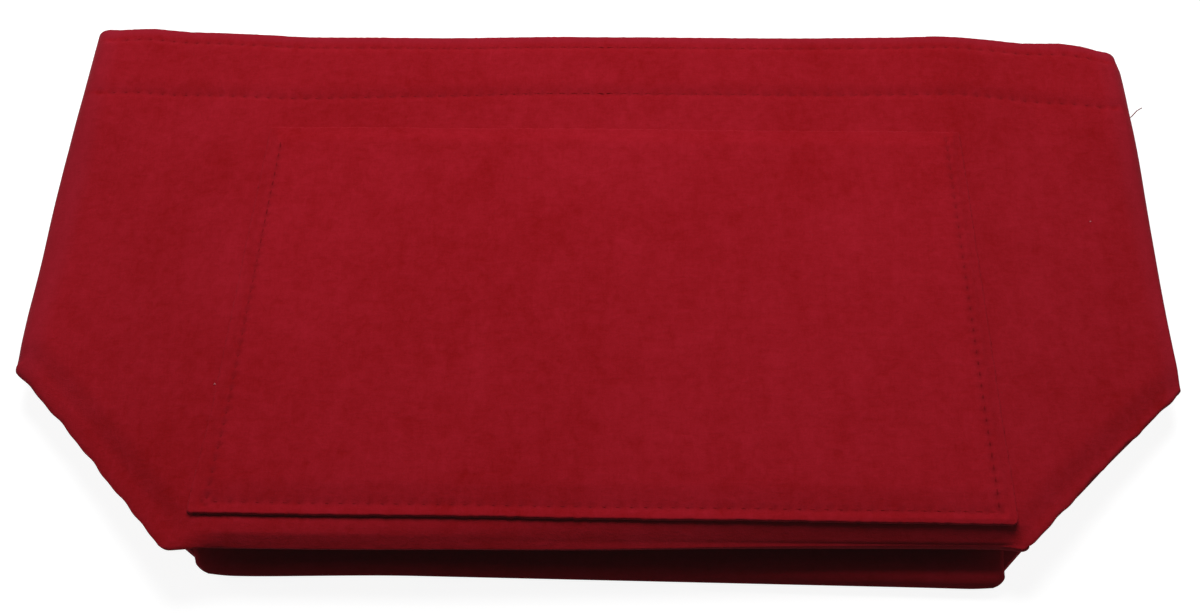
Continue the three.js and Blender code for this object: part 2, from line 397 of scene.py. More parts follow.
def shell_grid_plan():
    x = np.broadcast_to(SHELL_COLUMNS, (len(LOWER_SHARES) + len(SHELL_ROWS), len(SHELL_COLUMNS)))
    low = lower_edge(SHELL_COLUMNS)
    lower = low + (ROW_START - low) * LOWER_SHARES[:, None]
    upper = np.broadcast_to(SHELL_ROWS[:, None], (len(SHELL_ROWS), len(SHELL_COLUMNS)))
    return x, np.concatenate([lower, upper])


def turned(base, normal, out, split, offset, reach, bulge=0.0, drop=None):
    """Lines that roll round a fold, from an offset along the normal to a reach along the way out.
    split is the angle from the way out to the plane where the fold's two felts meet. A bulge lets the roll
    hang over, halfway round."""
    out = out - normal * (out * normal).sum(-1, keepdims=True)
    out = out / np.linalg.norm(out, axis=-1, keepdims=True)
    offset, reach, split, bulge = (
        np.broadcast_to(v, len(base)).astype(float) for v in (offset, reach, split, bulge))
    turn = np.arctan2(offset, reach * np.tan(split))
    lines = []
    for share in ROLL_STEPS:
        angle = turn * share
        height = offset if drop is None else offset + drop * (1 - share) ** 2
        across = reach * np.sin(angle) + bulge * np.sin(2 * angle)
        lines.append(base + (height * np.cos(angle))[:, None] * normal + across[:, None] * out)
    return np.stack(lines)


def inner_reach(reach):
    """The hollow that is left inside a roll."""
    return np.maximum(FOLD_GAP, reach - OUTER_OFFSET)


def felt_rolls(base, normal, out, split, outer_offset, reach):
    """A plain felt's outer and inner face where it rolls round a fold."""
    return (turned(base, normal, out, split, outer_offset, reach),
            turned(base, normal, out, split, FOLD_GAP, inner_reach(reach)))


FAN_STEPS = 8


class Border:
    """The border of a flat part, point by point: its place, the way out of the felt, the split angle of
    its fold, how far the fold's roll reaches and how far it bulges."""

    def __init__(self):
        self.rows = []

    def add(self, place, out, split, reach, bulge=0.0):
        self.rows.append((place, out, split, reach, bulge))

    def fan(self, place, first, last):
        """Turns from the first set of way out, split, reach and bulge to the last at one place."""
        for step in range(1, FAN_STEPS):
            share = step / FAN_STEPS
            self.add(place, *(a * (1 - share) + b * share for a, b in zip(first, last)))

    def arrays(self):
        return tuple(np.array(column, float) for column in zip(*self.rows))


def shell_border(side, layer):
    """Along the base, up the diagonal and up the side fold."""
    base_out = np.array([0.0, -1.0, 0.0])
    side_out = np.array([math.cos(GUSSET_SLOPE), 0, -math.sin(GUSSET_SLOPE)])
    diagonal = np.array([SIDE_FOLD_X - HALF_LENGTH, HALF_DEPTH, -HINGE_RISE])
    normal = np.array([math.sin(GUSSET_SLOPE), 0, math.cos(GUSSET_SLOPE)])
    diagonal_out = np.cross(diagonal, normal)
    diagonal_out /= np.linalg.norm(diagonal_out)

    def along_diagonal(x):
        bulge = float(at_diagonal(DIAGONAL_BULGE[side, layer], x))
        if layer > 0:
            bulge += diagonal_waves(x, side)
        return diagonal_out, 0.0, float(at_diagonal(DIAGONAL_REACH[layer], x)), bulge

    side_end = (side_out, GUSSET_SLOPE, float(side_fold_reach(HALF_DEPTH, side)), 0.0)
    border = Border()
    corner_bulge = 0.55 * DIAGONAL_BULGE[side, layer][1]
    for x in SHELL_COLUMNS[SHELL_COLUMNS <= HALF_LENGTH + 1e-6]:
        bulge = corner_bulge * float(smooth(x, HALF_LENGTH - 15, HALF_LENGTH))
        border.add((x, 0.0), base_out, 0.0, OUTER_OFFSET, bulge)
    base_end = (base_out, 0.0, OUTER_OFFSET, corner_bulge)
    border.fan((HALF_LENGTH, 0.0), base_end, along_diagonal(HALF_LENGTH))
    for x in SHELL_COLUMNS[SHELL_COLUMNS >= HALF_LENGTH - 1e-6]:
        border.add((x, float(lower_edge(x))), *along_diagonal(x))
    border.fan((SIDE_FOLD_X, HALF_DEPTH), along_diagonal(SIDE_FOLD_X), side_end)
    for y in shell_grid_plan()[1][:, -1]:
        border.add((SIDE_FOLD_X, float(y)), side_out, GUSSET_SLOPE, float(side_fold_reach(y, side)))
    return border.arrays()


def make_shell(name, side, layer, material):
    skin = Skin()
    plan_x, plan_y = shell_grid_plan()
    border, out, split, reach, bulge = shell_border(side, layer)
    border_x, border_y = border[:, 0], border[:, 1]
    base, normal = shell_point(border_x, border_y, 0), shell_normal(border_x)

    def place(points):
        return settle(mirrored(points, side, layer), layer)

    lift, border_lift = layers_lift(plan_x, plan_y, side), layers_lift(border_x, border_y, side)
    relief = shell_relief(plan_x * side, plan_y) - diagonal_press(plan_x, plan_y)
    outer = place(shell_point(plan_x, plan_y, OUTER_OFFSET + lift + relief))
    inner = place(shell_point(plan_x, plan_y, FOLD_GAP + lift))
    drop = shell_relief(border_x * side, border_y)
    outer_offset = OUTER_OFFSET + border_lift - diagonal_press(border_x, border_y)
    outer_roll = place(turned(base, normal, out, split, outer_offset, reach, bulge, drop))
    inner_roll = place(turned(base, normal, out, split, FOLD_GAP + border_lift, inner_reach(reach)))
    roll_seam = np.broadcast_to(shell_seam(border_x * side, border_y), outer_roll.shape[:2])
    skin.grid(outer, shell_seam(plan_x * side, plan_y))
    skin.grid(inner)
    skin.grid(outer_roll, roll_seam)
    skin.grid(inner_roll)
    skin.strip(outer_roll[-1], inner_roll[-1])
    skin.strip(np.concatenate([outer_roll[::-1, 0], outer[1:, 0]]),
               np.concatenate([inner_roll[::-1, 0], inner[1:, 0]]))
    top_outer = np.concatenate([outer[-1], outer_roll[1:, -1]])
    top_inner = np.concatenate([inner[-1], inner_roll[1:, -1]])
    raw_edge(skin, top_outer, top_inner, np.array([0.0, 1.0, 0.0]))
    return skin.piece(name, material)


# Base halves: folded inwards, outer faces towards each other

BASE_CREASE_ANGLE = math.asin((OUTER_OFFSET + FOLD_GAP) / HALF_DEPTH)
BASE_ANGLE = GUSSET_SLOPE - BASE_CREASE_ANGLE
BASE_REACH = HALF_DEPTH * math.cos(BASE_CREASE_ANGLE) - FOLD_GAP
# The base's roll lies this much inside the wall's, so that their faces aren't in one place
ROLL_STEP_DOWN = 0.06
# How far the base's ends reach out to the tucks, so that the open box has no hole at its corners
BASE_END_REACH = 2.2
TOWARDS_RIGHT = np.array([1.0, 0.0, 0.0])


def make_base_half(name, layer, material):
    skin = Skin()
    along = np.array([0, math.cos(BASE_ANGLE), -math.sin(BASE_ANGLE)])
    normal = np.array([0, -math.sin(BASE_ANGLE), -math.cos(BASE_ANGLE)])
    columns = spaced(-HALF_LENGTH, HALF_LENGTH, 2.0)
    rows = spaced(0, BASE_REACH, 2.0)

    def panel(x, reach, offset):
        x, reach = np.broadcast_arrays(x, reach)
        start = np.stack([x, np.zeros_like(x), np.full_like(x, HINGE_RISE)], -1)
        return start + reach[..., None] * along + offset * normal

    def place(points):
        return settle(mirrored(points, 1, layer), layer)

    border = Border()
    outer_offset = OUTER_OFFSET - ROLL_STEP_DOWN
    at_left = (-TOWARDS_RIGHT, 0.0, BASE_END_REACH, 0.0)
    at_fold = (-along, BASE_ANGLE, outer_offset, 0.0)
    at_right = (TOWARDS_RIGHT, 0.0, BASE_END_REACH, 0.0)
    for reach in rows[::-1]:
        border.add((-HALF_LENGTH, reach), *at_left)
    border.fan((-HALF_LENGTH, 0), at_left, at_fold)
    for x in columns:
        border.add((x, 0), *at_fold)
    border.fan((HALF_LENGTH, 0), at_fold, at_right)
    for reach in rows:
        border.add((HALF_LENGTH, reach), *at_right)
    places, out, split, reach, _ = border.arrays()
    base = panel(places[:, 0], places[:, 1], 0.0)
    normals = np.broadcast_to(normal, base.shape)
    outer = panel(columns[None, :], rows[:, None], outer_offset)
    inner = panel(columns[None, :], rows[:, None], FOLD_GAP)
    outer_roll, inner_roll = felt_rolls(base, normals, out, split, outer_offset, reach)
    skin.rolled_felt(place, outer, inner, outer_roll, inner_roll)

    # The crease: the felt's inner face rounds the fold line on its outer face
    centre = panel(columns, BASE_REACH, outer_offset)
    radius = outer_offset - FOLD_GAP
    crease = turned(centre, np.broadcast_to(-normal, centre.shape), np.broadcast_to(along, centre.shape),
                    BASE_ANGLE, radius, radius)
    skin.grid(place(crease))
    skin.strip(place(crease[-1]), place(centre))
    for end in (0, -1):
        crease_end = crease[:, end]
        skin.strip(place(crease_end), place(np.broadcast_to(centre[end], crease_end.shape)))
        skin.strip(place(outer_roll[:, end]), place(inner_roll[:, end]))
    return skin.piece(name, material)


# Corner tucks: the triangle below each diagonal, folded inside

TUCK_EDGE = HALF_DEPTH * math.sqrt(2)
TUCK_REACH = TUCK_EDGE / 2
TUCK_ANGLE = math.asin((HINGE_RISE - OUTER_OFFSET - FOLD_GAP) / TUCK_REACH)
# How far the free edges reach over their seam lines, and how much further beside the left's side fold
TUCK_SEAM = 0.9
TUCK_SEAM_AT_FOLD = 1.7
# Where a tuck stops following the settled wall: across from the diagonal, and along it to the side fold
FOLLOWED_ACROSS = 16
FOLLOWED_ALONG = (30, 62)
LET_GO_ACROSS = 7
# No tuck comes nearer to the middle plane than this, and it bends softly towards it
LEAST_RISE, RISE_SOFTNESS = 0.1, 1.2


def tuck_frame():
    """The right tuck's own axes: along the diagonal, across to its far corner, and outwards."""
    def about(axis, angle):
        first, second = (axis + 1) % 3, (axis + 2) % 3
        turn = np.eye(3)
        turn[first, first] = turn[second, second] = math.cos(angle)
        turn[second, first], turn[first, second] = math.sin(angle), -math.sin(angle)
        return turn

    return np.diag([1, 1, -1]) @ about(1, -GUSSET_SLOPE) @ about(2, math.pi / 4) @ about(0, TUCK_ANGLE)


def make_tuck(name, side, layer, material):
    skin = Skin()
    axes = tuck_frame()
    corner = np.array([HALF_LENGTH, 0, HINGE_RISE])

    def place(local):
        canonical = corner + local @ axes.T
        above = (canonical[..., 2] - LEAST_RISE) / RISE_SOFTNESS
        canonical[..., 2] = LEAST_RISE + RISE_SOFTNESS * np.logaddexp(0, above)
        flat = mirrored(canonical, side, layer)
        moved = settle(flat, layer)
        # Only the felt near the fold follows the wall, so that the tucks meet each other in the open box.
        # At the right's side fold the wall lies over the tuck, which needn't follow it there.
        along, across = local[..., 0], local[..., 1]
        beyond_fold = smooth(across, 0, LET_GO_ACROSS) if side < 0 else 1.0
        share = fade(across, 0, FOLLOWED_ACROSS) * (1 - smooth(along, *FOLLOWED_ALONG) * beyond_fold)
        return flat + (moved - flat) * share[..., None]

    def local(x, y, offset):
        x, y = np.broadcast_arrays(x, y)
        return np.stack([x, y, np.broadcast_to(offset, x.shape)], -1)

    shares = spaced(0, 1, 1 / 40)
    depth = spaced(0, 1, 1 / 20)
    # Rows run from the diagonal edge to the far corner, each a shorter copy of the diagonal
    plan_x = shares[None, :] * TUCK_EDGE * (1 - depth[:, None]) + TUCK_REACH * depth[:, None]
    # Both free edges reach into the felt they meet when the box is open, and further at the left's side
    # fold, where the tucks' bends would leave a hole
    at_base, at_fold = TUCK_SEAM * smooth(depth, 0, 0.1), np.full_like(depth, TUCK_SEAM)
    if side < 0:
        at_fold += TUCK_SEAM_AT_FOLD * fade(depth, 0.08, 0.25)
    plan_x = plan_x + at_fold[:, None] * shares - at_base[:, None] * (1 - shares)
    plan_y = np.broadcast_to(TUCK_REACH * depth[:, None], plan_x.shape)
    pressed = OUTER_OFFSET - CREASE_PRESS * fade(plan_y, 0, CREASE_WIDTH)
    outer, inner = local(plan_x, plan_y, pressed), local(plan_x, plan_y, FOLD_GAP)
    out = np.broadcast_to([0.0, -1.0, 0.0], (len(shares), 3))
    normal = np.broadcast_to([0.0, 0.0, 1.0], (len(shares), 3))
    edge = local(plan_x[0], plan_y[0], 0.0)
    reach = at_diagonal(DIAGONAL_REACH[layer], HALF_LENGTH + plan_x[0] * math.cos(math.pi / 4)) - 0.05
    outer_roll, inner_roll = felt_rolls(edge, normal, out, TUCK_ANGLE, OUTER_OFFSET - CREASE_PRESS, reach)
    skin.rolled_felt(place, outer, inner, outer_roll, inner_roll)
    for column in (0, -1):
        skin.strip(place(np.concatenate([outer_roll[::-1, column], outer[1:, column]])),
                   place(np.concatenate([inner_roll[::-1, column], inner[1:, column]])))
    return skin.piece(name, material)


# Rim facing: the strip inside the rim

FACING_BOTTOM = WALL_HEIGHT - FACING_DEPTH


def facing_offsets(x, y, side):
    """Offsets of the facing's near and far faces from the hinge plane, on its inner side."""
    press = (groove(y - FACING_ROW, 0.6, 1.2) + groove(y - RIM_ROW, 0.5, 1.1)) * pinch(x * side)
    lift = layers_lift(x, np.full_like(y, WALL_HEIGHT), side)
    return lift - FOLD_GAP, lift - OUTER_OFFSET + press


def make_facing(name, side, layer, material):
    skin = Skin()
    columns = np.concatenate([
        spaced(0, HALF_LENGTH, 1.0)[:-1], spaced(HALF_LENGTH, SIDE_FOLD_X - 0.6, 1.0)])
    rows = np.concatenate([
        spaced(FACING_BOTTOM + RAW_EDGE, FACING_ROW + 4, 0.5)[:-1],
        spaced(FACING_ROW + 4, RIM_ROW - 3, 1.5)[:-1], spaced(RIM_ROW - 3, WALL_HEIGHT - RAW_EDGE, 0.5)])
    plan_x, plan_y = np.meshgrid(columns, rows)
    near, far = (settle(mirrored(shell_point(plan_x, plan_y, offset), side, layer), layer)
                 for offset in facing_offsets(plan_x, plan_y, side))
    skin.grid(near)
    skin.grid(far, shell_seam(plan_x * side, plan_y))
    for column in (0, -1):
        skin.strip(near[:, column], far[:, column])
    raw_edge(skin, near[-1], far[-1], np.array([0.0, 1.0, 0.0]))
    raw_edge(skin, near[0], far[0], np.array([0.0, -1.0, 0.0]))
    return skin.piece(name, material)


# Slip pockets: one layer of thinner felt, cut raw all round

def rounded_corners(x, y, half, bottom, radius):
    """Rounds the two lower corners of a rectangle's plan, keeping its grid."""
    centre_x, centre_y = half - radius, bottom + radius
    for way in (-1, 1):
        out = np.clip((way * x - centre_x) / radius, 0, None)
        down = np.clip((centre_y - y) / radius, 0, None)
        inside = (out > 0) & (down > 0)
        new_x = way * (centre_x + radius * out * np.sqrt(np.clip(1 - down * down / 2, 0, 1)))
        new_y = centre_y - radius * down * np.sqrt(np.clip(1 - out * out / 2, 0, 1))
        x, y = np.where(inside, new_x, x), np.where(inside, new_y, y)
    return x, y


SLANT_START, SLANT_HEIGHT = 7, 131


def slant(x, y, left, right):
    """Shifts a pocket's upright lines sideways, as it was sewn a little askew. left and right give the
    shifts at the pocket's foot and at its mouth."""
    height = (y - SLANT_START) / SLANT_HEIGHT
    for way, (at_foot, at_mouth) in ((-1, left), (1, right)):
        x = x + np.clip(way * x / HALF_LENGTH, 0, 1) * (at_foot + (at_mouth - at_foot) * height)
    return x


# How far below a pocket's mouth its rows end, and how far a row's groove runs on past a corner
ROW_BELOW_MOUTH = 4.5
ROW_RUN_ON = 1.5


class Pocket:
    """A slip pocket's plan, rows of stitches and the felt's two faces."""

    def __init__(self, half, bottom, top, near_rise, outward, layer, margin=(4.7, 4.7), dividers=(),
                 left=(0, 0), right=(0, 0), tilt=0.0, pitch=STITCH_PITCH, left_row_drop=0.0):
        self.half, self.bottom, self.top = half, bottom, top
        self.near, self.outward, self.layer = near_rise, outward, layer
        self.side_margin, self.low_margin = margin
        self.left_row_drop = left_row_drop
        self.dividers, self.left, self.right, self.tilt, self.pitch = dividers, left, right, tilt, pitch
        self.row_x = half - self.side_margin
        self.row_y = bottom + self.low_margin
        self.row_top = top - ROW_BELOW_MOUTH

    def rows_near(self, x, y):
        """For each row of stitches: the distance to it, the way along it, and where it runs."""
        beside, above = np.abs(x) < self.row_x + ROW_RUN_ON, y > self.row_y - ROW_RUN_ON
        drop = self.row_top - self.row_y
        rows = [(x + self.row_x, self.row_top - y, above & (y < self.row_top - self.left_row_drop)),
                (y - self.row_y, drop + x + self.row_x, beside),
                (x - self.row_x, drop + 2 * self.row_x + y - self.row_y, above)]
        return rows + [(x - divider, y - self.row_y, above) for divider in self.dividers]

    def seam(self, x, y):
        # Painted shade along the pocket's rows of stitches
        half_pitch = self.pitch / 2
        return np.max([seam_shade(distance, along - half_pitch, self.pitch) * where
                       for distance, along, where in self.rows_near(x, y)], axis=0)

    def relief(self, x, y):
        half_pitch = self.pitch / 2
        press = np.max([groove(distance, 0.35, 1.3) * pinch(along - half_pitch, self.pitch) * where
                        for distance, along, where in self.rows_near(x, y)], axis=0)
        body = smooth(self.row_x - np.abs(x), 0, 14) * smooth(y, self.row_y, self.row_y + 14)
        thin_side = fade(self.half - np.abs(x), 0, self.side_margin)
        thin_low = fade(y - self.row_y, -0.5, 7)
        thin_mouth = fade(self.top - y, 0, 7)
        return 0.25 * body - press - np.max([1.25 * thin_side, 0.75 * thin_low, 0.8 * thin_mouth], axis=0)

    def face(self, x, y, offset):
        bent_x = slant(x, y, self.left, self.right)
        rise = self.near + self.outward * offset
        points = np.stack([bent_x, y + self.tilt * x, np.broadcast_to(rise, x.shape)], -1)
        return settle(mirrored(points, 1, self.layer), self.layer)

    def far_face(self, x, y):
        return self.face(x, y, POCKET_FELT + self.relief(x, y))

    def make(self, name, material):
        skin = Skin()
        edge, corner = 0.45, 1.2
        inset_half = self.half - edge
        columns = fine_lines(-inset_half, inset_half, 1.0, [-self.row_x, self.row_x, *self.dividers])
        rows = fine_lines(self.bottom + edge, self.top - edge, self.pitch / 4, [self.row_y])
        flat_x, flat_y = np.meshgrid(columns, rows)
        plan_x, plan_y = rounded_corners(flat_x, flat_y, inset_half, self.bottom + edge, corner)
        near, far = self.face(plan_x, plan_y, np.zeros_like(plan_x)), self.far_face(plan_x, plan_y)
        skin.grid(near)
        skin.grid(far, self.seam(plan_x, plan_y))

        def ring(grid):
            return np.concatenate([grid[-1, ::-1], grid[::-1, 0][1:], grid[0][1:], grid[:, -1][1:]])

        ring_near, ring_far, ring_plan = ring(near), ring(far), ring(np.stack([plan_x, plan_y], -1))
        ahead, behind = np.roll(ring_plan[:-1], -1, 0), np.roll(ring_plan[:-1], 1, 0)
        along = ahead - behind
        out = np.stack([along[:, 1], -along[:, 0], np.zeros(len(along))], -1)
        out /= np.linalg.norm(out, axis=-1, keepdims=True)
        out = np.concatenate([out, out[:1]])
        # The pocket's cut edge gets only a little of the paler colour: its own fuzz and a painted sheen
        raw_edge(skin, ring_far, ring_near, out, closed=True, fuzz_and_sheen=0.1)
        return skin.piece(name, material)


def fine_lines(start, end, step, rows, near=3.0, fine=0.5):
    """Grid lines from start to end, closer together near each row of stitches."""
    places = [start]
    while places[-1] < end - 1e-6:
        close = any(abs(places[-1] - row) < near for row in rows)
        places.append(min(end, places[-1] + (fine if close else step)))
    if len(places) > 2 and places[-1] - places[-2] < fine / 2:
        places.pop(-2)
    return np.array(places)


# Nodes: plain arithmetic between their outputs, and one method that adds any node

def arithmetic(operation, swapped=False):
    """A Python operator that adds a maths node."""
    def act(self, other):
        return self.maths(operation, *((other, self) if swapped else (self, other)))
    return act


class Value:
    """A node's output that takes part in plain arithmetic."""

    def __init__(self, maker, socket):
        self.maker, self.socket = maker, socket

    def maths(self, operation, first, second):
        return self.maker.node("ShaderNodeMath", {"operation": operation}, {0: first, 1: second})

    __add__, __radd__ = arithmetic("ADD"), arithmetic("ADD", swapped=True)
    __sub__, __rsub__ = arithmetic("SUBTRACT"), arithmetic("SUBTRACT", swapped=True)
    __mul__, __rmul__ = arithmetic("MULTIPLY"), arithmetic("MULTIPLY", swapped=True)


class Nodes:
    """A node tree, made one node at a time."""

    def __init__(self, tree):
        self.tree = tree

    def node(self, kind, settings=None, inputs=None, output=0):
        made = self.tree.nodes.new(kind)
        for name, setting in (settings or {}).items():
            setattr(made, name, setting)
        for name, value in (inputs or {}).items():
            if isinstance(value, Value):
                self.tree.links.new(value.socket, made.inputs[name])
            else:
                made.inputs[name].default_value = value
        return Value(self, made.outputs[output])


class Shader(Nodes):
    """The nodes of a material or a world."""

    def __init__(self, name, kind="Material"):
        self.kind = kind
        self.shaded = (bpy.data.materials if kind == "Material" else bpy.data.worlds).new(name)
        self.shaded.use_nodes = True
        super().__init__(self.shaded.node_tree)
        self.tree.nodes.clear()

    def finish(self, surface):
        end = self.tree.nodes.new(f"ShaderNodeOutput{self.kind}")
        self.tree.links.new(surface.socket, end.inputs["Surface"])
        return self.shaded


# Thread: stitches repeated along each row by geometry nodes

def thread_nodes():
    """Small bent stitches along each line, with both ends in the felt."""
    tree = bpy.data.node_groups.new("row_of_stitches", "GeometryNodeTree")
    tree.is_modifier = True
    for way, name, kind, value in (
            ("INPUT", "Geometry", "Geometry", None), ("OUTPUT", "Geometry", "Geometry", None),
            ("INPUT", "Pitch", "Float", 0.004), ("INPUT", "Stitch Length", "Float", 0.003),
            ("INPUT", "Thread Radius", "Float", 0.0003), ("INPUT", "Sink", "Float", 0.0006),
            ("INPUT", "Unevenness", "Float", 0.08), ("INPUT", "Felt Side", "Vector", (0, 0, 1)),
            ("INPUT", "Seed", "Int", 7), ("INPUT", "Thread", "Material", None)):
        socket = tree.interface.new_socket(name=name, in_out=way, socket_type=f"NodeSocket{kind}")
        if value is not None:
            socket.default_value = value
    nodes = Nodes(tree)
    node = nodes.node
    given = {socket.name: Value(nodes, socket) for socket in tree.nodes.new("NodeGroupInput").outputs}

    def vector(**parts):
        return node("ShaderNodeCombineXYZ", inputs=parts)

    radius, swing = given["Thread Radius"], given["Unevenness"]
    half, down = given["Stitch Length"] * 0.5, given["Sink"] * -1.0
    arc = node("GeometryNodeCurveQuadraticBezier", inputs={
        "Resolution": 5, "Start": vector(X=half * -1.0, Z=down), "Middle": vector(Z=radius),
        "End": vector(X=half, Z=down)})
    round_thread = node("GeometryNodeCurvePrimitiveCircle", inputs={"Resolution": 5, "Radius": radius})
    stitch = node("GeometryNodeCurveToMesh", inputs={
        "Curve": arc, "Profile Curve": round_thread, "Fill Caps": True})
    points = node("GeometryNodeCurveToPoints", {"mode": "LENGTH"}, {
        "Curve": given["Geometry"], "Length": given["Pitch"]})
    tangent = Value(nodes, points.socket.node.outputs["Tangent"])
    facing = node("FunctionNodeAlignRotationToVector", {"axis": "X", "pivot_axis": "AUTO"}, {
        "Vector": tangent})
    upright = node("FunctionNodeAlignRotationToVector", {"axis": "Z", "pivot_axis": "X"}, {
        "Rotation": facing, "Vector": given["Felt Side"]})
    chance = node("FunctionNodeRandomValue", {"data_type": "FLOAT_VECTOR"}, {
        0: vector(Z=swing * -1.0), 1: vector(Z=swing), "Seed": given["Seed"]})
    sway = node("FunctionNodeRotateRotation", {"rotation_space": "LOCAL"}, {
        "Rotation": upright, "Rotate By": chance})
    placed = node("GeometryNodeInstanceOnPoints", inputs={
        "Points": points, "Instance": stitch, "Rotation": sway})
    real = node("GeometryNodeRealizeInstances", inputs={"Geometry": placed})
    smoothed = node("GeometryNodeSetShadeSmooth", inputs={"Geometry": real})
    dyed = node("GeometryNodeSetMaterial", inputs={"Geometry": smoothed, "Material": given["Thread"]})
    tree.links.new(dyed.socket, tree.nodes.new("NodeGroupOutput").inputs[0])
    return tree


def drawn_lines(name, lines):
    """A curve object through lines of points in millimetres."""
    curve = bpy.data.curves.new(name, "CURVE")
    curve.dimensions = "3D"
    for line in lines:
        spline = curve.splines.new("POLY")
        spline.points.add(len(line) - 1)
        spline.points.foreach_set("co", np.c_[to_row_frame(line), np.ones(len(line))].ravel())
    return linked(name + "_lines", curve)


def plain_mesh(drawn, name):
    """What a curve object looks like, as one plain mesh that takes its place."""
    evaluated = drawn.evaluated_get(bpy.context.evaluated_depsgraph_get())
    mesh = bpy.data.meshes.new_from_object(evaluated)
    mesh.name = name
    made = linked(name, mesh)
    bpy.data.objects.remove(drawn)
    return made


THREAD_TREE = thread_nodes()
STITCH_SHARE = 0.66


def sew(name, rows, felt_side, thread, seed, pitch=STITCH_PITCH):
    """Stitches along rows of points in millimetres."""
    drawn = drawn_lines(name, rows)
    modifier = drawn.modifiers.new("stitches", "NODES")
    modifier.node_group = THREAD_TREE
    settings = {"Pitch": pitch * 0.001, "Stitch Length": pitch * STITCH_SHARE * 0.001,
                "Felt Side": felt_side, "Seed": seed, "Thread": thread}
    for item in THREAD_TREE.interface.items_tree:
        if item.in_out == "INPUT" and item.name in settings:
            modifier[item.identifier] = settings[item.name]
    return plain_mesh(drawn, name)


# Looks

def felt_material(name, colour, lightness=1.0):
    """Pressed wool: soft clouds of shade, streaks along the wall, a fine nap, painted shade along the rows
    of stitches, a paler colour at fuzzy edges that is partly its own fuzz and partly a painted sheen, and
    a faint painted glow.
    """
    shader = Shader(name)
    place = shader.node("ShaderNodeTexCoord", output="Object")
    seam = shader.node("ShaderNodeAttribute", {"attribute_name": "seam"}, output=2)

    def grain(scale, detail, stretch=(1, 1, 1), distortion=0.0):
        mapped = shader.node("ShaderNodeMapping", inputs={"Vector": place, "Scale": stretch})
        return shader.node("ShaderNodeTexNoise", {"noise_dimensions": "3D"}, {
            "Vector": mapped, "Scale": scale, "Detail": detail, "Roughness": 0.6,
            "Distortion": distortion})

    def mix(factor, first, second):
        return shader.node("ShaderNodeMix", {"data_type": "RGBA", "clamp_factor": True},
                           {"Factor": factor, 6: first, 7: second}, output=2)

    def shaded(share):
        return [c * share * lightness for c in colour] + [1]

    # From soft clouds to single fibres, each with its own weight in the shade
    cloud = grain(24, 2)
    streak = grain(130, 3, (1, 0.35, 1), 0.5)
    mottle = grain(300, 4, distortion=0.6)
    fibre_across = grain(900, 3, (0.25, 1, 1), 1.2)
    fibre_along = grain(900, 3, (1, 0.25, 1), 1.2)
    speckle = grain(2600, 2)
    fibres = fibre_across * 0.5 + fibre_along * 0.5
    shade = (0.5 + (cloud - 0.5) * 0.7 + (streak - 0.5) * 0.5 + (mottle - 0.5) * 0.85
             + (fibres - 0.5) * 0.9 + (speckle - 0.5) * 0.45)

    def dyed(way):
        return [(c + way * spread) * lightness for c, spread in zip(colour, FIBRE_SPREAD)] + [1]

    # A seam value over zero darkens the felt with painted shade along the stitches, and one below zero
    # paints it paler: its own pale fuzz and a painted sheen
    tint = mix(shade, dyed(-1), dyed(1))
    pale = [c * lightness + paler for c, paler in zip(colour, (0.004, 0.008, 0.018))] + [1]
    sewn = mix(seam * 0.34, mix(seam * -0.6, tint, pale), shaded(0.35))
    height = fibres * 0.55 + mottle * 0.6 + speckle * 0.25
    bump = shader.node("ShaderNodeBump", inputs={"Strength": 0.5, "Distance": 0.0005, "Height": height})
    rough = 0.9 + (mottle - 0.5) * 0.12
    # Its emission is the faint painted glow, which keeps the felt's deepest folds from going quite black
    surface = shader.node("ShaderNodeBsdfPrincipled", inputs={
        "Base Color": sewn, "Roughness": rough, "Normal": bump,
        "Sheen Weight": 0.16, "Sheen Roughness": 0.35, "Sheen Tint": (1.0, 0.32, 0.42, 1.0),
        "Specular IOR Level": 0.04,
        "Emission Color": (1.0, 0.85, 0.85, 1), "Emission Strength": PAINTED_GLOW})
    return shader.finish(surface)


def thread_material(name, colour):
    shader = Shader(name)
    place = shader.node("ShaderNodeTexCoord", output="Object")
    ply = shader.node("ShaderNodeTexNoise", inputs={"Vector": place, "Scale": 3500.0, "Detail": 2.0})
    tint = shader.node("ShaderNodeMix", {"data_type": "RGBA"}, {
        "Factor": ply, 6: [c * 0.7 for c in colour] + [1], 7: [c * 1.3 for c in colour] + [1]}, output=2)
    bump = shader.node("ShaderNodeBump", inputs={"Strength": 0.4, "Distance": 0.0001, "Height": ply})
    surface = shader.node("ShaderNodeBsdfPrincipled", inputs={
        "Base Color": tint, "Roughness": 0.75, "Normal": bump, "Specular IOR Level": 0.05})
    return shader.finish(surface)


def seen_directly(shader):
    """1 where the camera, metal or glass shows the background, and 0 where it only gives light."""
    seen = shader.node("ShaderNodeLightPath", output="Is Camera Ray")
    for ray in ("Is Glossy Ray", "Is Transmission Ray"):
        seen = seen.maths("MAXIMUM", seen, shader.node("ShaderNodeLightPath", output=ray))
    return seen


def floor_material():
    """Matte under the lamp, and nearly white to the camera, so that only the soft shadow shows."""
    shader = Shader("studio_floor")
    seen = seen_directly(shader)
    place = shader.node("ShaderNodeTexCoord", output="Object")
    away = shader.node("ShaderNodeVectorMath", {"operation": "LENGTH"}, {0: place}, output="Value")
    brightness = shader.node("ShaderNodeMapRange", {"interpolation_type": "SMOOTHSTEP"}, {
        "Value": away, "From Min": 0.3, "From Max": 1.0, "To Min": 0.9, "To Max": 1.0})
    glow = shader.node("ShaderNodeEmission", inputs={
        "Color": (1, 1, 1, 1), "Strength": seen * brightness})
    matte = shader.node("ShaderNodeBsdfDiffuse", inputs={"Color": (0.3, 0.3, 0.3, 1)})
    return shader.finish(shader.node("ShaderNodeAddShader", inputs={0: glow, 1: matte}))


SHELL_RED = (0.271, 0.0038, 0.0094)
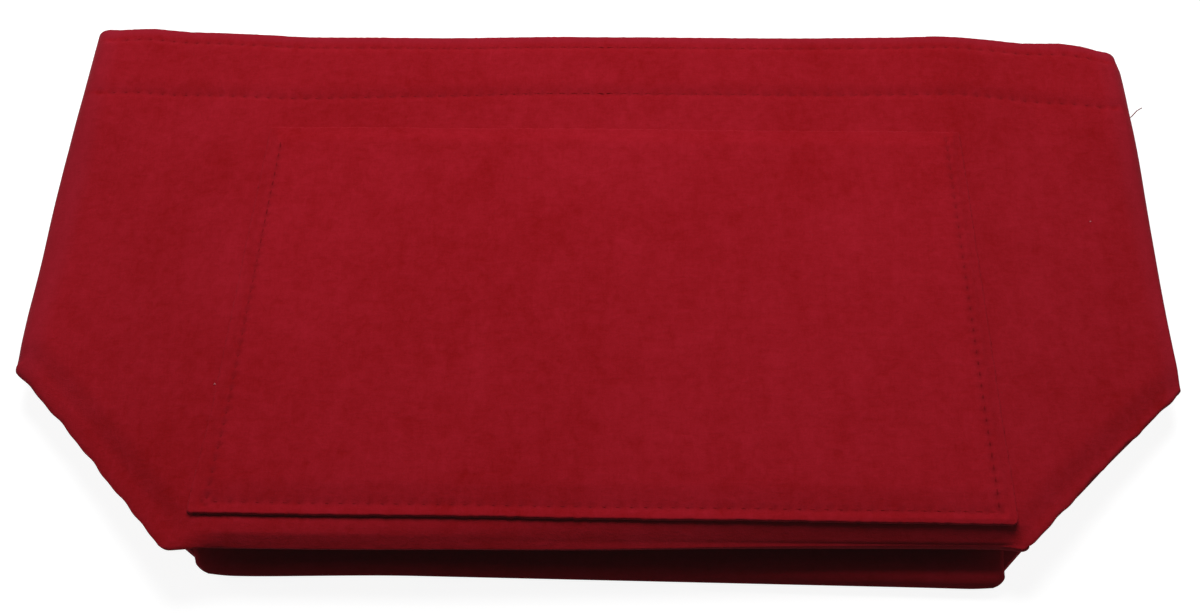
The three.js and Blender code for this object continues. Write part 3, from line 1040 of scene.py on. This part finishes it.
# How far the darkest and the palest fibres are from the felt's colour
FIBRE_SPREAD = (0.054, 0.0035, 0.0080)
THREAD_RED = (0.19, 0.0032, 0.0062)
# A painted glow: a faint pale emission of the felt itself, which lifts its deep folds and recesses out of
# black
PAINTED_GLOW = 0.0026

shell_felt = felt_material("shell_felt_red", SHELL_RED)
facing_felt = felt_material("facing_felt_red", SHELL_RED, 0.96)
pocket_felt = felt_material("pocket_felt_red", SHELL_RED, 1.03)
thread_red = thread_material("thread_red", THREAD_RED)

# The ends of a corner's band lie this far from its hinge, on both sides
CORNER_BAND = 5.0


def bend_round_corner(piece, wall, side_name):
    side = SIDES[side_name]
    start, end = (to_row_frame([side * (HALF_LENGTH + way * CORNER_BAND), 0, 0]) for way in (-1, 1))
    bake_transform(piece)
    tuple(start)
    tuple(end)


# Where each tuck's band at the diagonal starts, beyond its diagonal and past the settled fold, and how
# wide it is
DIAGONAL_BEND_START = {(-1, 1): 1.2, (-1, -1): 1.4, (1, 1): -0.5, (1, -1): 0.2}
DIAGONAL_BEND_WIDTH = 3.6


def bend_round_diagonal(tuck, side_name, layer_name):
    """Bakes the tuck's place into its mesh and finds the ends of a band at the diagonal fold, a few
    millimetres of the tuck.
    """
    side, layer = SIDES[side_name], LAYERS[layer_name]
    bend_start = DIAGONAL_BEND_START[side, layer]
    corner = np.array([HALF_LENGTH, 0, HINGE_RISE])
    start, end = (to_row_frame(mirrored(corner + tuck_frame() @ [TUCK_REACH, across, 0], side, layer))
                  for across in (bend_start, bend_start + DIAGONAL_BEND_WIDTH))
    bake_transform(tuck)
    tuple(start)
    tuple(end)


def outer_face(x, y, side):
    return OUTER_OFFSET + layers_lift(x, y, side) + shell_relief(x * side, y)


def facing_face(x, y, side):
    return facing_offsets(x, y, side)[1]


# The first stitch's distance from the wall's middle, and the last ones' from the side fold
FIRST_STITCH = 2.0
OUTER_ROW_END = 6.0
INNER_ROW_END = 2.0


def rim_rows(face, row_end, side, layer):
    """The facing's row and the rim's row on a face, from the wall's middle to near its side fold."""
    run = np.arange(FIRST_STITCH, SIDE_FOLD_X - row_end, 1.0)
    rows = []
    for y in (FACING_ROW, RIM_ROW):
        heights = np.full_like(run, y)
        flat = mirrored(shell_point(run, heights, face(run, heights, side)), side, layer)
        rows.append(settle(flat, layer))
    return rows


def build_half(wall, side_name, layer_name, seed):
    """Half a wall with its gusset half, rim facing, stitches and corner tuck."""
    side, layer = SIDES[side_name], LAYERS[layer_name]
    shell = make_shell(f"{wall}_shell_felt_{side_name}", side, layer, shell_felt)
    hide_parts(f"{side_name}_{layer_name}_gusset", f"{wall}_wall")
    facing = make_facing(f"{wall}_rim_facing_felt_{side_name}", side, layer, facing_felt)
    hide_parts(f"{side_name}_{layer_name}_gusset_rim_facing", f"{wall}_rim_facing")
    outer_rows = rim_rows(outer_face, OUTER_ROW_END, side, layer)
    inner_rows = rim_rows(facing_face, INNER_ROW_END, side, layer)
    outside = sew(f"{wall}_rim_stitches_{side_name}", outer_rows, (0, 0, layer), thread_red, seed)
    inside = sew(f"{wall}_facing_stitches_{side_name}", inner_rows, (0, 0, -layer), thread_red, seed + 1)
    for piece in (shell, facing, outside, inside):
        bend_round_corner(piece, wall, side_name)
    tuck = make_tuck(f"{side_name}_{layer_name}_corner_tuck_felt", side, layer, shell_felt)
    bend_round_diagonal(tuck, side_name, layer_name)
    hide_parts(f"{side_name}_{layer_name}_corner_tuck")


# Each row of stitches sways in its own way
seed = 11
for layer_name, layer in LAYERS.items():
    wall = "back" if layer_name == "rear" else "front"
    for side_name in SIDES:
        build_half(wall, side_name, layer_name, seed)
        seed += 2
    base = make_base_half(f"base_{layer_name}_felt", layer, shell_felt)
    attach(base, f"base_{layer_name}")
    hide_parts(f"base_{layer_name}_half")

outer_pocket = Pocket(110.5, 4.5, 139.5, 9.7, 1, 1, margin=(4.7, 3.4), left=(1.0, 4.9), right=(0.7, 1.6),
                      tilt=-0.0045, pitch=3.75, left_row_drop=4.0)
front_inner_pocket = Pocket(102.0, 58.0, 140.0, 6.35, -1, 1)
rear_inner_pocket = Pocket(102.0, 58.0, 140.0, 6.35, -1, -1, dividers=(0.0,))


def sewn_line(pocket, down, across, up):
    """A pocket's line down one side, along the bottom and up the other, from places along each."""
    x = np.concatenate([np.full_like(down, -pocket.row_x), across, np.full_like(up, pocket.row_x)])
    y = np.concatenate([down, np.full_like(across, pocket.row_y), up])
    return x, y


def pocket_rows(pocket):
    """The sewn line and the dividers, on the pocket's own felt."""
    left, right, low, high = -pocket.row_x, pocket.row_x, pocket.row_y, pocket.row_top
    down, across, up = (np.linspace(a, b, int(abs(b - a)) + 1)
                        for a, b in ((high - pocket.left_row_drop, low), (left, right), (low, high)))
    rows = [pocket.far_face(*sewn_line(pocket, down, across[1:], up[1:]))]
    rows += [pocket.far_face(np.full_like(up, divider), up) for divider in pocket.dividers]
    return rows


for name, pocket, body, wall in (
        ("front_outer_pocket", outer_pocket, "front", "front"),
        ("front_inner_pocket", front_inner_pocket, "front", "front"),
        ("rear_inner_pocket", rear_inner_pocket, "back", "back")):
    felt = pocket.make(f"{name}_felt", pocket_felt)
    way = pocket.outward * pocket.layer
    sewn = sew(f"{name}_stitches", pocket_rows(pocket), (0, 0, way), thread_red, seed, pocket.pitch)
    seed += 1
    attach(felt, body)
    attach(sewn, body)
    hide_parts(name)


HALF_FELT = (FOLD_GAP + OUTER_OFFSET) / 2
POINTS_UP, POINTS_ACROSS = 80, 200


def sew_through(name, pocket, offset, body):
    """A pocket's rows where they come out on the other face of its wall."""
    down = np.linspace(pocket.row_top, pocket.row_y, POINTS_UP)
    across = np.linspace(-pocket.row_x, pocket.row_x, POINTS_ACROSS)
    up = np.linspace(pocket.row_y, pocket.row_top, POINTS_UP)
    lines = [sewn_line(pocket, down, across, up)]
    lines += [(np.full_like(up, divider), up) for divider in pocket.dividers]
    rows = []
    for x, y in lines:
        flat = mirrored(shell_point(slant(x, y, pocket.left, pocket.right), y, offset), 1, pocket.layer)
        rows.append(settle(flat, pocket.layer))
    out = pocket.layer if offset > HALF_FELT else -pocket.layer
    sewn = sew(name, rows, (0, 0, out), thread_red, 90, pocket.pitch)
    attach(sewn, body)


sew_through("front_outer_pocket_stitches_inside", outer_pocket, FOLD_GAP, "front")
sew_through("rear_inner_pocket_stitches_outside", rear_inner_pocket, OUTER_OFFSET, "back")


# Lint and a loose thread

def hair(name, lines, radius, material, body):
    """Loose fibres: one thin tube along each short line of points in millimetres."""
    drawn = drawn_lines(name, lines)
    drawn.data.bevel_depth = radius * 0.001
    drawn.data.bevel_resolution = 0
    drawn.data.use_fill_caps = True
    made = plain_mesh(drawn, name)
    made.data.materials.clear()
    made.data.materials.append(material)
    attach(made, body)


LINT_LIFT = 0.1
LINT_RADIUS = 0.05
LOOSE_THREAD_RADIUS = 0.18


def lint_lines(places, seed):
    """A speck of lint at each place on the front: a few short crossing fibres."""
    chance = np.random.default_rng(seed)
    lines = []
    for x, y, reach in places:
        for _ in range(4):
            along = chance.uniform(0, math.tau)
            step = reach * np.array([math.cos(along), math.sin(along)])
            middle = np.array([x, y]) + chance.uniform(-0.3, 0.3, 2) * reach
            flat = np.array([middle - step, middle, middle + step * chance.uniform(0.3, 1)])
            face = MIDDLE_HEIGHT + float(hinge_rise(abs(x))) + OUTER_OFFSET
            rise = face + LINT_LIFT + np.array([0.0, 0.25, 0.05]) * reach
            lines.append(np.c_[flat, rise])
    return lines


lint_pale = thread_material("lint_pale", (0.55, 0.24, 0.27))
FRONT_LINT = [(-109.2, 45.7, 0.35), (-20.6, 126.2, 0.3), (8.8, 165.6, 0.4), (-53.8, 53.2, 0.3)]
RIGHT_LINT = [(149.6, 109.7, 0.3)]
hair("lint_on_the_front", lint_lines(FRONT_LINT, 5), LINT_RADIUS, lint_pale, "front")
hair("lint_on_the_right", lint_lines(RIGHT_LINT, 6), LINT_RADIUS, lint_pale, "right_front_side")
LOOSE_THREAD = [[164.5, 153.8, 10.6], [168.5, 153.4, 11.4], [171.4, 155.2, 11.6], [174.0, 158.4, 11.0],
                [176.2, 160.4, 10.2]]
hair("loose_thread_right", [LOOSE_THREAD], LOOSE_THREAD_RADIUS, thread_red, "right_front_side")


# Studio

def studio():
    """A white floor, a high softbox beyond the rim and two weak ones at the sides."""
    scene = bpy.context.scene
    floor_mesh = bpy.data.meshes.new("studio_floor")
    reach = 6.0
    corners = [(-reach, -reach, 0), (reach, -reach, 0), (reach, reach, 0), (-reach, reach, 0)]
    floor_mesh.from_pydata(corners, [], [(0, 1, 2, 3)])
    floor_mesh.materials.append(floor_material())
    floor = linked("studio_floor", floor_mesh)
    floor.location.z = -0.0002

    def softbox(name, place, target, size, power):
        light = bpy.data.lights.new(name, "AREA")
        light.shape, light.size, light.energy = "DISK", size, power
        lamp = linked(name, light)
        lamp.location = place
        lamp.rotation_euler = (Vector(target) - Vector(place)).to_track_quat("-Z", "Y").to_euler()

    softbox("high_softbox", place=(-0.01, 0.34, 0.60), target=(0, 0, 0), size=0.48, power=4.95)
    softbox("left_softbox", place=(-0.75, 0.12, 0.35), target=(0, 0, 0.04), size=0.5, power=0.9)
    softbox("right_softbox", place=(0.75, 0.12, 0.35), target=(0, 0, 0.04), size=0.5, power=0.65)

    air = Shader("studio_air", "World")
    dim = air.node("ShaderNodeBackground", inputs={"Color": (1, 1, 1, 1), "Strength": 0.038})
    white = air.node("ShaderNodeBackground", inputs={"Color": (1, 1, 1, 1), "Strength": 1.0})
    scene.world = air.finish(
        air.node("ShaderNodeMixShader", inputs={0: seen_directly(air), 1: dim, 2: white}))
    scene.view_settings.view_transform = "Standard"


def photo_camera():
    """The camera that takes the photo's view, fitted to the object's outline in it."""
    data = bpy.data.cameras.new("photo_camera")
    data.sensor_width = 36.0
    data.lens = 46.118
    data.clip_start, data.clip_end = 0.01, 20
    camera = linked("photo_camera", data)
    camera.location = (0.002034, -0.268317, 0.390345)
    camera.rotation_euler = Euler((math.radians(34.278), 0, math.radians(0.6138)))
    bpy.context.scene.camera = camera


studio()
photo_camera()
